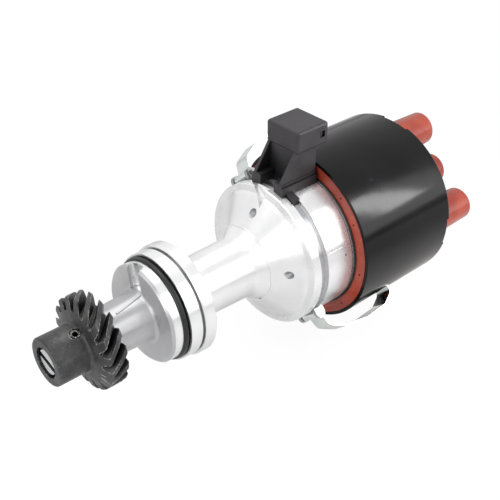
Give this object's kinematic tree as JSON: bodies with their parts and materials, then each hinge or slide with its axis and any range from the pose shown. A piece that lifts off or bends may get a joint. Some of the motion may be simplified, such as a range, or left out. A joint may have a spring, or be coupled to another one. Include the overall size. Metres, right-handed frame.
{
  "type": "ignition distributor",
  "caption": "Ignition distributor with a helical drive gear, flange-mounted body, shielded cap with lead towers, spring clips and a side connector.",
  "frame": {"origin": "on the shaft axis, in the middle of the pilot disc that centres the housing in the engine block", "axes": "+X along the shaft towards the cap, +Z towards the electrical connector, drive gear at -X"},
  "size_m": [0.2535, 0.09, 0.1105],
  "materials": {
    "cast_aluminium": "machined die casting",
    "rubber_black": "satin",
    "bronze": "sintered",
    "bright_steel": "ground",
    "plastic_black": "moulded satin",
    "phenolic_red": "moulded satin",
    "brass": "pressed",
    "shield_black": "semi-gloss",
    "phosphated_steel": "phosphated",
    "carbon": "pressed carbon",
    "spring_steel": "bright"
  },
  "bodies": {
    "body": {"housing": "cast_aluminium", "pilot_o_ring": "rubber_black", "lower_bush": "bronze", "upper_bush": "bronze", "shaft_seal": "rubber_black", "thrust_washer": "bright_steel", "sensor_plate": "bright_steel", "sensor_screws": "bright_steel", "hall_sensor": "plastic_black", "sensor_leads": "plastic_black", "dust_cover": "plastic_black", "cap_body": "phenolic_red", "lead_towers": "phenolic_red", "tower_terminals": "brass", "centre_terminal": "brass", "brush_spring": "bright_steel", "shield": "shield_black", "clip_pins": "bright_steel", "connector_housing": "plastic_black", "connector_terminals": "brass"},
    "shaft": {"drive_shaft": "bright_steel", "drive_gear": "phosphated_steel", "gear_roll_pin": "phosphated_steel", "trigger_wheel": "bright_steel", "shaft_circlip": "phosphated_steel", "rotor_arm": "phenolic_red", "rotor_contact": "brass"},
    "brush": {"carbon_brush": "carbon"},
    "clip_upper": {"spring_clip_upper": "spring_steel"},
    "clip_lower": {"spring_clip_lower": "spring_steel"}
  },
  "joints": [
    {"name": "shaft_spin", "type": "hinge", "parent": "body", "child": "shaft", "pos_m": [0, 0, 0], "axis": [1, 0, 0], "continuous": true},
    {"name": "brush_slide", "type": "slide", "parent": "body", "child": "brush", "axis": [1, 0, 0], "range_m": [0, 0.003], "stiffness_N_per_m": 60, "springref_m": -0.004, "deforming": ["brush_spring"]},
    {"name": "clip_upper_swing", "type": "hinge", "parent": "body", "child": "clip_upper", "pos_m": [0.0803, 0.02556, 0.02839], "axis": [0, -0.7431, 0.6691], "range_deg": [0, 100]},
    {"name": "clip_lower_swing", "type": "hinge", "parent": "body", "child": "clip_lower", "pos_m": [0.0803, -0.02556, -0.02839], "axis": [0, 0.7431, -0.6691], "range_deg": [0, 100]}
  ]
}
